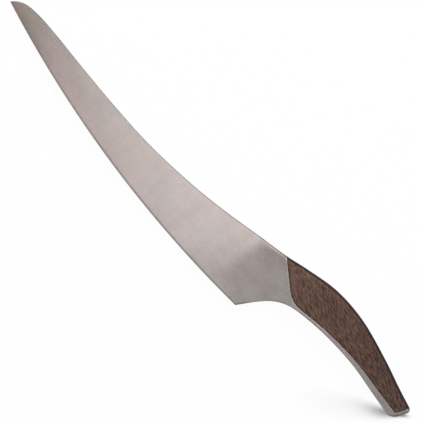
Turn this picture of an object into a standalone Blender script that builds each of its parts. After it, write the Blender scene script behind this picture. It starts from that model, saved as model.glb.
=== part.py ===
"""A long curved fillet knife: one steel forging, two wooden scales let into it, and three hidden pins.

The knife lies on its right side. X runs from the tip to the butt along the chord of the cutting edge,
Y from the cutting edge to the spine, and Z up through the thickness of the blade.
Outlines are drawn with the tip at (0, 0), on the blade's middle plane.
"""

from math import cos, pi, sin, sqrt

import bmesh
import bpy
from mathutils import Vector

MM = 0.001

# Blade
BLADE_LENGTH = 260 * MM  # tip to heel, along the chord of the cutting edge
EDGE_BOW = 10.2 * MM  # how far the cutting edge swings below that chord
EDGE_THICKNESS = 0.25 * MM
BEVEL_HEIGHT = 1.2 * MM  # the sharpened strip along the cutting edge
BEVEL_SHOULDER = 0.7 * MM  # thickness of the blade at the top of that strip
SPINE_AT_TIP = 1.2 * MM  # thickness of the spine
SPINE_AT_HEEL = 2.8 * MM
SPINE_ROUNDING = 0.5 * MM

# The spine between the tip and the bolster: shares of the blade's length, and heights over the chord
SPINE_SHARES = (0.009, 0.031, 0.07, 0.13, 0.24, 0.38, 0.53, 0.69, 0.8)
SPINE_HEIGHTS = (
    3.4 * MM,
    7.6 * MM,
    10.1 * MM,
    11.6 * MM,
    12.8 * MM,
    14.8 * MM,
    18.6 * MM,
    26.5 * MM,
    34.2 * MM,
)

# Bolster, placed from the heel
BOLSTER_AT_SPINE = Vector((-30 * MM, 41.8 * MM))  # ends of the line where the plain blade begins to swell
BOLSTER_AT_EDGE = Vector((-39 * MM, 0 * MM))
BOLSTER_HOLLOW = 13 * MM  # length of the hollow curve between the blade and the bolster's slope
BOLSTER_OVER_EDGE = 24 * MM  # height over the chord below which the bolster thins towards the edge
SPINE_OVER_HEEL = Vector((-28 * MM, 41.8 * MM))
CREST_AT_SPINE = Vector((-6.9 * MM, 48.3 * MM))  # ends of the crest's straight line
CREST_AT_BELLY = Vector((24.4 * MM, 30.2 * MM))
CREST_LEDGE = 0.5 * MM  # level steel between the crest and the wood
CHOIL = (
    Vector((3.1 * MM, 6 * MM)),
    Vector((7.2 * MM, 13.6 * MM)),
    Vector((12.2 * MM, 21.1 * MM)),
    Vector((18 * MM, 26.6 * MM)),
)

# Handle
HANDLE_LENGTH = 131 * MM  # heel to butt, at the back of the handle
HANDLE_THICKNESS = 18 * MM
BUTT_SLOPE = 4.9 * MM  # how far the butt face leans back from belly to back
BACK_RADIUS = 4 * MM  # long edges along the back of the handle
BELLY_RADIUS = 1 * MM
BUTT_EDGE = 1.7 * MM  # rounding between the butt face and the flanks
BUTT_HEEL_RADIUS = 6 * MM  # corners of the butt, seen from the side
BUTT_BACK_RADIUS = 3.5 * MM

# The handle's two outlines: shares of the way from the crest to the butt, and heights over the chord
BACK_SHARES = (0.13, 0.295, 0.484, 0.72, 0.875, 1)
BACK_HEIGHTS = (55.1 * MM, 62.2 * MM, 64.3 * MM, 60.5 * MM, 56.5 * MM, 53.8 * MM)
BELLY_SHARES = (0.15, 0.33, 0.57, 0.8, 1)
BELLY_HEIGHTS = (34.6 * MM, 38.1 * MM, 40.3 * MM, 39.7 * MM, 39.1 * MM)

# Steel rim round the wood, and the tang between the scales
RAIL_FRONT = 2.4 * MM  # width of the belly rail behind the bolster
RAIL_REAR = 5.2 * MM  # and at the butt
RAIL_GROWTH = 1.4  # power with which it widens
RAIL_START = 0.09  # shares of the belly between which the rail widens
RAIL_END = 0.9
BUTT_RIM = 2.9 * MM
FRONT_CORNER_RADIUS = 19 * MM  # of the wood, between its front line and the rail
REAR_CORNER_RADIUS = 2 * MM
TANG_THICKNESS = 4 * MM

# Hidden pins, and fits
PIN_DIAMETER = 4 * MM
PIN_DEPTH = 4 * MM  # how far a pin reaches into each scale
PIN_SHARES = {"front": 0.2, "middle": 0.5, "rear": 0.8}  # of the handle's length
SCALE_CLEARANCE = 0.3 * MM
PIN_CLEARANCE = 0.3 * MM

# Smoothness
BLADE_SECTIONS = 30
BOLSTER_SECTIONS = 8
HANDLE_SECTIONS = 13
BUTT_SECTIONS = 5
CORNER_STEPS = 4
FLANK_STEPS = 8
CURVE_STEPS = 10
EDGE_STEPS = 100
RAIL_STEPS = 8
ARC_STEPS = 8
PIN_SIDES = 24
TIP_CROWDING = 1.4  # above 1, the blade's sections stand closer near the tip
CUT_MARGIN = 8 * MM  # how far a cutter reaches past what it cuts


def clear_scene():
    for obj in list(bpy.data.objects):
        bpy.data.objects.remove(obj, do_unlink=True)


def blend(first, second, share):
    return first + (second - first) * share


def smooth_step(share):
    share = min(max(share, 0), 1)
    return share * share * (3 - 2 * share)


def spline(points):
    """Points along a smooth curve through the given ones, with no overshoot between uneven spacings."""
    ends = [points[0] * 2 - points[1]] + list(points) + [points[-1] * 2 - points[-2]]
    line = [points[0].copy()]
    for before, start, stop, after in zip(ends, ends[1:], ends[2:], ends[3:]):
        first = sqrt((start - before).length)
        middle = sqrt((stop - start).length)
        last = sqrt((after - stop).length)
        out = (start - before) / first - (stop - before) / (first + middle) + (stop - start) / middle
        back = (stop - start) / middle - (after - start) / (middle + last) + (after - stop) / last
        out, back = out * middle, back * middle
        for step in range(1, CURVE_STEPS + 1):
            t = step / CURVE_STEPS
            line.append(
                start * (2 * t**3 - 3 * t**2 + 1)
                + out * (t**3 - 2 * t**2 + t)
                + stop * (3 * t**2 - 2 * t**3)
                + back * (t**3 - t**2)
            )
    return line


def bowed(start, stop, bow, steps):
    """Points along an arc from start to stop that swings by bow to the right of the way between them."""
    chord = stop - start
    radius = (chord.length**2 / 4 + bow**2) / (2 * bow)
    side = Vector((chord.y, -chord.x)).normalized()
    centre = (start + stop) / 2 - side * (radius - bow)
    line = []
    for step in range(steps + 1):
        across = chord.length * (step / steps - 0.5)
        line.append(centre + side * sqrt(radius**2 - across**2) + chord.normalized() * across)
    return line


def along(line, share):
    """The point at this share of a line's length."""
    lengths = [(b - a).length for a, b in zip(line, line[1:])]
    left = share * sum(lengths)
    for start, stop, length in zip(line, line[1:], lengths):
        if left <= length:
            return blend(start, stop, left / length)
        left -= length
    return line[-1].copy()


def direction(line, share):
    near = 1 / (4 * CURVE_STEPS)
    return (along(line, min(share + near, 1)) - along(line, max(share - near, 0))).normalized()


def crossing(point, way, other, other_way):
    """Where two straight lines meet."""
    turn = way.x * other_way.y - way.y * other_way.x
    gap = other - point
    return point + way * ((gap.x * other_way.y - gap.y * other_way.x) / turn)


def rounded(corner, before, after, radius):
    """Points round a corner, from the side of before to the side of after."""
    back = (before - corner).normalized()
    on = (after - corner).normalized()
    half = back.angle(on) / 2
    reach = radius * cos(half) / sin(half)
    middle = corner + (back + on).normalized() * (radius / sin(half))
    start = corner + back * reach - middle
    stop = corner + on * reach - middle
    sweep = pi - 2 * half
    points = []
    for step in range(ARC_STEPS + 1):
        angle = sweep * step / ARC_STEPS
        points.append(middle + (start * sin(sweep - angle) + stop * sin(angle)) / sin(sweep))
    return points


heel = Vector((BLADE_LENGTH, 0))
crest_top = heel + CREST_AT_SPINE
crest_belly = heel + CREST_AT_BELLY
swell_spine = heel + BOLSTER_AT_SPINE
swell_edge = heel + BOLSTER_AT_EDGE
butt_top_x = BLADE_LENGTH + HANDLE_LENGTH
butt_belly_x = butt_top_x - BUTT_SLOPE


def outline_points(start_x, stop_x, shares, heights):
    return [Vector((blend(start_x, stop_x, share), height)) for share, height in zip(shares, heights)]


tip = Vector((0, 0))
spine_points = [tip] + outline_points(0, BLADE_LENGTH, SPINE_SHARES, SPINE_HEIGHTS)
spine_points += [heel + SPINE_OVER_HEEL]
back_points = outline_points(crest_top.x, butt_top_x, BACK_SHARES, BACK_HEIGHTS)
belly_points = outline_points(crest_belly.x, butt_belly_x, BELLY_SHARES, BELLY_HEIGHTS)
choil_points = [heel] + [heel + place for place in CHOIL]

upper = spline(spine_points + [crest_top] + back_points)
lower = spline(choil_points + [crest_belly] + belly_points)
heel_at = (len(spine_points) - 1) * CURVE_STEPS
crest_at = len(spine_points) * CURVE_STEPS
belly_at = len(choil_points) * CURVE_STEPS

edge = bowed(tip, heel, EDGE_BOW, EDGE_STEPS)
spine = upper[: heel_at + 1]
bolster_top = upper[heel_at : crest_at + 1]
choil = lower[: belly_at + 1]
back = upper[crest_at:]
belly = lower[belly_at:]

crest_way = (crest_belly - crest_top).normalized()
ahead_way = Vector((crest_way.y, -crest_way.x))
butt_way = (back[-1] - belly[-1]).normalized()


def line_x(start, stop, y):
    """Where the straight line through two points is at this height."""
    return blend(start.x, stop.x, (y - start.y) / (stop.y - start.y))


def swell(point):
    """1 in the handle, 0 in the plain blade, and between them along the bolster."""
    if (point - crest_top).dot(ahead_way) <= 0:
        return 1
    start_x = line_x(swell_edge, swell_spine, point.y)
    run = point.x - start_x
    if run <= 0:
        return 0
    length = line_x(crest_top, crest_belly, point.y) - start_x
    rise = run - BOLSTER_HOLLOW / 2
    if run < BOLSTER_HOLLOW:
        rise = run**2 / (2 * BOLSTER_HOLLOW)
    return rise / (length - BOLSTER_HOLLOW / 2) * smooth_step(point.y / BOLSTER_OVER_EDGE)


def ring(bottom, top, spine_thickness, handle_share, end_inset):
    """Points round one section of the knife. handle_share turns the sharpened strip into a rounded edge."""
    height = (top - bottom).length
    up = (top - bottom) / height

    def thickness_at(level):
        point = bottom + up * level
        plain = blend(BEVEL_SHOULDER, spine_thickness, level / height) / 2
        return blend(plain, HANDLE_THICKNESS / 2, swell(point)) - end_inset

    low = min(blend(BEVEL_HEIGHT, BELLY_RADIUS, handle_share), height / 4)
    high = min(blend(SPINE_ROUNDING, BACK_RADIUS, sqrt(swell(top))), height / 3)
    low_half = thickness_at(low)
    edge_half = min(EDGE_THICKNESS / 2, low_half)
    low_depth = blend(low_half - edge_half, min(BELLY_RADIUS, low_half), handle_share)
    high_half = thickness_at(height - high)
    high_depth = min(high, high_half)

    half = []
    for step in range(CORNER_STEPS + 1):
        share = step / CORNER_STEPS
        turn = share * pi / 2
        level = blend(share, 1 - cos(turn), handle_share) * low
        half.append((level, low_half - low_depth * (1 - blend(share, sin(turn), handle_share))))
    for step in range(1, FLANK_STEPS):
        level = blend(low, height - high, step / FLANK_STEPS)
        half.append((level, thickness_at(level)))
    for step in range(CORNER_STEPS + 1):
        turn = step / CORNER_STEPS * pi / 2
        half.append((height - high * (1 - sin(turn)), high_half - high_depth * (1 - cos(turn))))

    points = [(bottom + up * level, z) for level, z in half]
    points += [(bottom + up * level, -z) for level, z in reversed(half)]
    return [Vector((point.x, point.y, z)) for point, z in points]


def end_inset(to_end, radius):
    """How far a rounding of this radius draws a surface in, at a distance from the end."""
    if to_end >= radius:
        return 0
    return radius - sqrt(radius**2 - (radius - to_end) ** 2)


def sections():
    rings = []
    for step in range(1, BLADE_SECTIONS + 1):
        share = (step / BLADE_SECTIONS) ** TIP_CROWDING
        thickness = blend(SPINE_AT_TIP, SPINE_AT_HEEL, share)
        rings.append(ring(along(edge, share), along(spine, share), thickness, 0, 0))
    for step in range(1, BOLSTER_SECTIONS + 1):
        share = step / BOLSTER_SECTIONS
        section = along(choil, share), along(bolster_top, share)
        rings.append(ring(*section, SPINE_AT_HEEL, smooth_step(share), 0))
    full = 1 - BUTT_HEEL_RADIUS / HANDLE_LENGTH
    for step in range(1, HANDLE_SECTIONS + 1):
        share = full * step / HANDLE_SECTIONS
        rings.append(ring(along(belly, share), along(back, share), SPINE_AT_HEEL, 1, 0))
    for step in range(1, BUTT_SECTIONS + 1):
        to_end = BUTT_HEEL_RADIUS * (1 - sin(step / BUTT_SECTIONS * pi / 2))
        share = 1 - to_end / HANDLE_LENGTH
        bottom, top = along(belly, share), along(back, share)
        up = (top - bottom).normalized()
        bottom += up * end_inset(to_end, BUTT_HEEL_RADIUS)
        top -= up * end_inset(to_end, BUTT_BACK_RADIUS)
        rings.append(ring(bottom, top, SPINE_AT_HEEL, 1, end_inset(to_end, BUTT_EDGE)))
    return rings


def envelope_mesh():
    """The outer form of the whole knife, lofted from the tip to the butt."""
    shape = bmesh.new()
    point = shape.verts.new((tip.x, tip.y, 0))
    rings = [[shape.verts.new(place) for place in section] for section in sections()]
    count = len(rings[0])
    for i in range(count):
        shape.faces.new((point, rings[0][i], rings[0][(i + 1) % count]))
    for first, second in zip(rings, rings[1:]):
        for i in range(count):
            j = (i + 1) % count
            shape.faces.new((first[i], second[i], second[j], first[j]))
    shape.faces.new(rings[-1])
    bmesh.ops.recalc_face_normals(shape, faces=shape.faces)
    mesh = bpy.data.meshes.new("knife_form")
    shape.to_mesh(mesh)
    shape.free()
    return mesh


def rail_line(inset):
    """The upper side of the belly rail."""
    line = []
    for step in range(RAIL_STEPS + 1):
        share = blend(RAIL_START, RAIL_END, step / RAIL_STEPS)
        way = direction(belly, share)
        grown = ((share - RAIL_START) / (1 - RAIL_START)) ** RAIL_GROWTH
        width = blend(RAIL_FRONT, RAIL_REAR, grown) + inset
        line.append(along(belly, share) + Vector((-way.y, way.x)) * width)
    return line


def wood_outline(inset):
    """The wood's outline, drawn in by inset on the sides that meet steel and open past the back."""
    rail = rail_line(inset)
    front = crest_top - ahead_way * (CREST_LEDGE + inset)
    rear = back[-1] + Vector((-butt_way.y, butt_way.x)) * (BUTT_RIM + inset)
    front_corner = crossing(front, crest_way, rail[0], rail[1] - rail[0])
    rear_corner = crossing(rear, butt_way, rail[-1], rail[-1] - rail[-2])
    front_end = front - crest_way * CUT_MARGIN
    rear_end = rear + butt_way * CUT_MARGIN
    over = Vector(((front_end.x + rear_end.x) / 2, max(point.y for point in back) + 2 * CUT_MARGIN))
    outline = [front_end]
    outline += rounded(front_corner, front_end, rail[0], FRONT_CORNER_RADIUS - inset)
    outline += rail
    outline += rounded(rear_corner, rail[-1], rear_end, REAR_CORNER_RADIUS - inset)
    outline += [rear_end, over]
    return outline


def prism_mesh(name, outline, low, high):
    """A flat outline given a thickness, between two heights."""
    shape = bmesh.new()
    face = shape.faces.new([shape.verts.new((point.x, point.y, low)) for point in outline])
    raised = bmesh.ops.extrude_face_region(shape, geom=[face])["geom"]
    corners = [part for part in raised if isinstance(part, bmesh.types.BMVert)]
    bmesh.ops.translate(shape, vec=(0, 0, high - low), verts=corners)
    bmesh.ops.recalc_face_normals(shape, faces=shape.faces)
    mesh = bpy.data.meshes.new(name)
    shape.to_mesh(mesh)
    shape.free()
    return mesh


def round_mesh(name, diameter, length):
    shape = bmesh.new()
    bmesh.ops.create_cone(
        shape, cap_ends=True, segments=PIN_SIDES, radius1=diameter / 2, radius2=diameter / 2, depth=length
    )
    mesh = bpy.data.meshes.new(name)
    shape.to_mesh(mesh)
    shape.free()
    return mesh


def material(name, colour, roughness, metallic):
    made = bpy.data.materials.new(name)
    made.use_nodes = True
    surface = made.node_tree.nodes["Principled BSDF"]
    surface.inputs["Base Color"].default_value = (*colour, 1)
    surface.inputs["Roughness"].default_value = roughness
    surface.inputs["Metallic"].default_value = metallic
    return made


def place(name, mesh, collection, parent, location=(0, 0, 0)):
    obj = bpy.data.objects.new(name, mesh)
    obj.parent = parent
    obj.location = location
    collection.objects.link(obj)
    return obj


def cutter(name, mesh, collection, parent, location=(0, 0, 0)):
    obj = place(name, mesh, collection, parent, location)
    obj.hide_render = True
    obj.display_type = "WIRE"
    return obj


def cut(obj, tool, operation="DIFFERENCE"):
    modifier = obj.modifiers.new(tool.name, "BOOLEAN")
    modifier.operation = operation
    modifier.object = tool
    modifier.solver = "EXACT"


def finish(obj, surface):
    obj.data.materials.clear()
    obj.data.materials.append(surface)
    obj.data.shade_smooth()
    obj.data.set_sharp_from_angle(angle=pi / 6)


def pin_place(share):
    middle = (along(belly, share) + along(back, share)) / 2
    return Vector((middle.x, middle.y, 0))


def build():
    clear_scene()
    scene = bpy.context.scene.collection
    knife = bpy.data.collections.new("fillet_knife")
    cutters = bpy.data.collections.new("fillet_knife_cutters")
    scene.children.link(knife)
    scene.children.link(cutters)

    steel = material("satin_steel", (0.5, 0.46, 0.44), 0.35, 1)
    oak = material("dark_oak", (0.09, 0.052, 0.04), 0.6, 0)
    brass = material("pin_brass", (0.72, 0.5, 0.22), 0.3, 1)

    form = envelope_mesh()
    xs = [vertex.co.x for vertex in form.vertices]
    ys = [vertex.co.y for vertex in form.vertices]
    lying = bpy.data.objects.new("lying_knife", None)
    lying.location = (-(min(xs) + max(xs)) / 2, -(min(ys) + max(ys)) / 2, HANDLE_THICKNESS / 2)
    knife.objects.link(lying)

    forging = place("blade_forging", form.copy(), knife, lying)
    scales = {}
    for side, turn in (("left", 1), ("right", -1)):
        beyond = turn * (HANDLE_THICKNESS / 2 + CUT_MARGIN)
        tang = turn * TANG_THICKNESS / 2
        seat = tang + turn * SCALE_CLEARANCE
        pocket = prism_mesh(f"{side}_pocket", wood_outline(0), min(tang, beyond), max(tang, beyond))
        cut(forging, cutter(f"{side}_pocket", pocket, cutters, lying))
        blank = prism_mesh(
            f"{side}_blank", wood_outline(SCALE_CLEARANCE), min(seat, beyond), max(seat, beyond)
        )
        scales[side] = place(f"{side}_scale", form.copy(), knife, lying)
        cut(scales[side], cutter(f"{side}_blank", blank, cutters, lying), "INTERSECT")

    pin_length = TANG_THICKNESS + 2 * (SCALE_CLEARANCE + PIN_DEPTH)
    hole = round_mesh("pin_hole", PIN_DIAMETER + 2 * PIN_CLEARANCE, pin_length + 2 * PIN_CLEARANCE)
    for name, share in PIN_SHARES.items():
        where = pin_place(share)
        pin = place(f"{name}_pin", round_mesh(f"{name}_pin", PIN_DIAMETER, pin_length), knife, lying, where)
        finish(pin, brass)
        drill = cutter(f"{name}_pin_hole", hole, cutters, lying, where)
        for drilled in (forging, scales["left"], scales["right"]):
            cut(drilled, drill)

    finish(forging, steel)
    finish(scales["left"], oak)
    finish(scales["right"], oak)


build()
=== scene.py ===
"""Dresses the fillet knife for a studio picture: finer pieces, their finishes, floor, light and camera.

The knife lies on its right side. X runs from the tip to the butt along the chord of the cutting edge,
Y from the cutting edge to the spine, and Z up through the thickness of the blade.
Outlines are drawn with the tip at (0, 0), on the blade's middle plane, and then placed by the frame.
"""

from math import cos, pi, radians, sin, sqrt
from types import SimpleNamespace

import bmesh
import bpy
from mathutils import Matrix, Vector


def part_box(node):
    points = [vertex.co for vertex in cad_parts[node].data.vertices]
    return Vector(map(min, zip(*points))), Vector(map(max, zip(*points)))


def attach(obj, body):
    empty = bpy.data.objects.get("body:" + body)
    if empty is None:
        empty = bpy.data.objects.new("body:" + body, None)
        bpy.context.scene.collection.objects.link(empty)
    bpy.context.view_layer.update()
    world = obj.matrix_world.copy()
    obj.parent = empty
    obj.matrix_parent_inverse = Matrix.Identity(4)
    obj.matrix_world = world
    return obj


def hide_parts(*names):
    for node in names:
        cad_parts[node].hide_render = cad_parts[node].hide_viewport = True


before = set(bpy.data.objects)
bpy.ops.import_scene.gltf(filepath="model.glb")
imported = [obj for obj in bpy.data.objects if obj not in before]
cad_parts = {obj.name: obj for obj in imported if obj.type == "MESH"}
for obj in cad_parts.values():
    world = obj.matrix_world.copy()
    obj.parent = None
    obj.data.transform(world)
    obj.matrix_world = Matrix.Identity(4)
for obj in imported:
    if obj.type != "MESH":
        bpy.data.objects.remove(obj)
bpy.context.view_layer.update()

MM = 0.001

# Blade
BLADE_LENGTH = 260 * MM  # tip to heel, along the chord of the cutting edge
EDGE_BOW = 10.2 * MM  # how far the cutting edge swings below that chord
EDGE_THICKNESS = 0.25 * MM
BEVEL_HEIGHT = 1.2 * MM  # the sharpened strip along the cutting edge
BEVEL_SHOULDER = 0.7 * MM  # thickness of the blade at the top of that strip
SPINE_AT_TIP = 1.2 * MM  # thickness of the spine
SPINE_AT_HEEL = 2.8 * MM
SPINE_ROUNDING = 0.5 * MM

# The spine between the tip and the bolster: shares of the blade's length, and heights over the chord
SPINE_SHARES = (0.009, 0.031, 0.07, 0.13, 0.24, 0.38, 0.53, 0.69, 0.8)
SPINE_HEIGHTS = [height * MM for height in (3.4, 7.6, 10.1, 11.6, 12.8, 14.8, 18.6, 26.5, 34.2)]

# Bolster, placed from the heel
BOLSTER_AT_SPINE = Vector((-30 * MM, 41.8 * MM))  # ends of the line where the plain blade begins to swell
BOLSTER_AT_EDGE = Vector((-39 * MM, 0 * MM))
BOLSTER_HOLLOW = 13 * MM  # length of the hollow curve between the blade and the bolster's slope
BOLSTER_OVER_EDGE = 24 * MM  # height over the chord below which the bolster thins towards the edge
SPINE_OVER_HEEL = Vector((-28 * MM, 41.8 * MM))
CREST_AT_SPINE = Vector((-6.9 * MM, 48.3 * MM))  # ends of the crest's straight line
CREST_AT_BELLY = Vector((24.4 * MM, 30.2 * MM))
CREST_LEDGE = 0.5 * MM  # level steel between the crest and the wood
CHOIL = (
    Vector((3.1 * MM, 6 * MM)),
    Vector((7.2 * MM, 13.6 * MM)),
    Vector((12.2 * MM, 21.1 * MM)),
    Vector((18 * MM, 26.6 * MM)),
)

# Handle
HANDLE_LENGTH = 131 * MM  # heel to butt, at the back of the handle
HANDLE_THICKNESS = 18 * MM
BUTT_SLOPE = 4.9 * MM  # how far the butt face leans back from belly to back
BACK_RADIUS = 4 * MM  # long edges along the back of the handle
BELLY_RADIUS = 1 * MM
BUTT_EDGE = 1.7 * MM  # rounding between the butt face and the flanks
BUTT_HEEL_RADIUS = 6 * MM  # corners of the butt, seen from the side
BUTT_BACK_RADIUS = 3.5 * MM

# The handle's two outlines: shares of the way from the crest to the butt, and heights over the chord
BACK_SHARES = (0.13, 0.295, 0.484, 0.72, 0.875, 1)
BACK_HEIGHTS = (55.1 * MM, 62.2 * MM, 64.3 * MM, 60.5 * MM, 56.5 * MM, 53.8 * MM)
BELLY_SHARES = (0.15, 0.33, 0.57, 0.8, 1)
BELLY_HEIGHTS = (34.6 * MM, 38.1 * MM, 40.3 * MM, 39.7 * MM, 39.1 * MM)

# Steel rim round the wood, and the tang between the scales
RAIL_FRONT = 2.4 * MM  # width of the belly rail behind the bolster
RAIL_REAR = 5.2 * MM  # and at the butt
RAIL_GROWTH = 1.4  # power with which it widens
RAIL_START = 0.09  # shares of the belly between which the rail widens
RAIL_END = 0.9
BUTT_RIM = 2.9 * MM
FRONT_CORNER_RADIUS = 19 * MM  # of the wood, between its front line and the rail
REAR_CORNER_RADIUS = 2 * MM
TANG_THICKNESS = 4 * MM

# Hidden pins, and fits
PIN_DIAMETER = 4 * MM
PIN_DEPTH = 4 * MM  # how far a pin reaches into each scale
PIN_SHARES = (0.2, 0.5, 0.8)  # of the handle's length
PIN_CLEARANCE = 0.3 * MM
SEAT_CLEARANCE = 0.3 * MM  # between the scales and the tang
SEAM = 0.1 * MM  # the fine joint between the wood and the steel round it
STEEL_BREAK = 0.18 * MM  # broken edge of the steel along that joint
WOOD_BREAK = 0.25 * MM  # and of the wood

# Smoothness
BLADE_SECTIONS = 150
BOLSTER_SECTIONS = 44
HANDLE_SECTIONS = 64
BUTT_SECTIONS = 14
CORNER_STEPS = 8
FLANK_STEPS = 26
CURVE_STEPS = 24
EDGE_STEPS = 300
RAIL_STEPS = 32
ARC_STEPS = 24
PIN_SIDES = 48
TOP_LINE_STEP = CURVE_STEPS // 4  # every so many points of the top outline go into the steel's finish
TIP_CROWDING = 1.4  # above 1, the blade's sections stand closer near the tip
LOW_CORNER_LIMIT = 1 / 4  # of a section's height: the most that its lower corners take
HIGH_CORNER_LIMIT = 1 / 3  # and its upper ones
DIRECTION_SHARE = 1 / 40  # of a line's length, on both sides of a point, over which its direction is taken
SHARP_ANGLE = radians(28)  # between faces, from which their edge stays sharp
CUT_MARGIN = 8 * MM  # how far a cutter reaches past what it cuts

# Camera: the photograph's scale and turn
PICTURE_WIDTH = 290.72 * MM  # what the picture's 423 pixels span at the knife
PICTURE_PLANE = 12 * MM  # height over the floor of that measure
PICTURE_CENTRE = Vector((3.5 * MM, -1.8 * MM))
PICTURE_TURN = radians(53.448)  # from the knife's X to the picture's right
LENS = 400
SENSOR = 36


def blend(first, second, share):
    return first + (second - first) * share


def smooth_step(share):
    share = min(max(share, 0), 1)
    return share * share * (3 - 2 * share)


def spline(points):
    """Points along a smooth curve through the given ones, with no overshoot between uneven spacings."""
    ends = [points[0] * 2 - points[1]] + list(points) + [points[-1] * 2 - points[-2]]
    line = [points[0].copy()]
    for before, start, stop, after in zip(ends, ends[1:], ends[2:], ends[3:]):
        first = sqrt((start - before).length)
        middle = sqrt((stop - start).length)
        last = sqrt((after - stop).length)
        out = (start - before) / first - (stop - before) / (first + middle) + (stop - start) / middle
        back = (stop - start) / middle - (after - start) / (middle + last) + (after - stop) / last
        out, back = out * middle, back * middle
        for step in range(1, CURVE_STEPS + 1):
            t = step / CURVE_STEPS
            line.append(
                start * (2 * t**3 - 3 * t**2 + 1)
                + out * (t**3 - 2 * t**2 + t)
                + stop * (3 * t**2 - 2 * t**3)
                + back * (t**3 - t**2)
            )
    return line


def bowed(start, stop, bow, steps):
    """Points along an arc from start to stop that swings by bow to the right of the way between them."""
    chord = stop - start
    radius = (chord.length**2 / 4 + bow**2) / (2 * bow)
    side = Vector((chord.y, -chord.x)).normalized()
    centre = (start + stop) / 2 - side * (radius - bow)
    line = []
    for step in range(steps + 1):
        across = chord.length * (step / steps - 0.5)
        line.append(centre + side * sqrt(radius**2 - across**2) + chord.normalized() * across)
    return line


def along(line, share):
    """The point at this share of a line's length."""
    lengths = [(b - a).length for a, b in zip(line, line[1:])]
    left = share * sum(lengths)
    for start, stop, length in zip(line, line[1:], lengths):
        if left <= length:
            return blend(start, stop, left / length)
        left -= length
    return line[-1].copy()


def direction(line, share):
    before = along(line, max(share - DIRECTION_SHARE, 0))
    after = along(line, min(share + DIRECTION_SHARE, 1))
    return (after - before).normalized()


def crossing(point, way, other, other_way):
    """Where two straight lines meet."""
    turn = way.x * other_way.y - way.y * other_way.x
    gap = other - point
    return point + way * ((gap.x * other_way.y - gap.y * other_way.x) / turn)


def rounded(corner, before, after, radius):
    """Points round a corner, from the side of before to the side of after."""
    back = (before - corner).normalized()
    on = (after - corner).normalized()
    half = back.angle(on) / 2
    reach = radius * cos(half) / sin(half)
    middle = corner + (back + on).normalized() * (radius / sin(half))
    start = corner + back * reach - middle
    stop = corner + on * reach - middle
    sweep = pi - 2 * half
    points = []
    for step in range(ARC_STEPS + 1):
        angle = sweep * step / ARC_STEPS
        points.append(middle + (start * sin(sweep - angle) + stop * sin(angle)) / sin(sweep))
    return points


def outline_points(start_x, stop_x, shares, heights):
    return [Vector((blend(start_x, stop_x, share), height)) for share, height in zip(shares, heights)]


tip = Vector((0, 0))
heel = Vector((BLADE_LENGTH, 0))
crest_top = heel + CREST_AT_SPINE
crest_belly = heel + CREST_AT_BELLY
swell_spine = heel + BOLSTER_AT_SPINE
swell_edge = heel + BOLSTER_AT_EDGE
butt_top_x = BLADE_LENGTH + HANDLE_LENGTH
butt_belly_x = butt_top_x - BUTT_SLOPE

spine_points = [tip] + outline_points(0, BLADE_LENGTH, SPINE_SHARES, SPINE_HEIGHTS)
spine_points += [heel + SPINE_OVER_HEEL]
back_points = outline_points(crest_top.x, butt_top_x, BACK_SHARES, BACK_HEIGHTS)
belly_points = outline_points(crest_belly.x, butt_belly_x, BELLY_SHARES, BELLY_HEIGHTS)
choil_points = [heel] + [heel + place for place in CHOIL]

upper = spline(spine_points + [crest_top] + back_points)
lower = spline(choil_points + [crest_belly] + belly_points)
heel_at = (len(spine_points) - 1) * CURVE_STEPS
crest_at = len(spine_points) * CURVE_STEPS
belly_at = len(choil_points) * CURVE_STEPS

edge = bowed(tip, heel, EDGE_BOW, EDGE_STEPS)
spine = upper[: heel_at + 1]
bolster_top = upper[heel_at : crest_at + 1]
choil = lower[: belly_at + 1]
back = upper[crest_at:]
belly = lower[belly_at:]

crest_way = (crest_belly - crest_top).normalized()
ahead_way = Vector((crest_way.y, -crest_way.x))
butt_way = (back[-1] - belly[-1]).normalized()

# The knife's middle plane, and where the outlines' tip lies in the frame
forging_low, forging_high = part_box("blade_forging")
middle_z = (forging_low.z + forging_high.z) / 2
origin = Vector((forging_low.x, forging_low.y + EDGE_BOW, middle_z))


def line_x(start, stop, y):
    """Where the straight line through two points is at this height."""
    return blend(start.x, stop.x, (y - start.y) / (stop.y - start.y))


def swell(point):
    """1 in the handle, 0 in the plain blade, and between them along the bolster."""
    if (point - crest_top).dot(ahead_way) <= 0:
        return 1
    start_x = line_x(swell_edge, swell_spine, point.y)
    run = point.x - start_x
    if run <= 0:
        return 0
    length = line_x(crest_top, crest_belly, point.y) - start_x
    rise = run - BOLSTER_HOLLOW / 2
    if run < BOLSTER_HOLLOW:
        rise = run**2 / (2 * BOLSTER_HOLLOW)
    return rise / (length - BOLSTER_HOLLOW / 2) * smooth_step(point.y / BOLSTER_OVER_EDGE)


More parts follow.
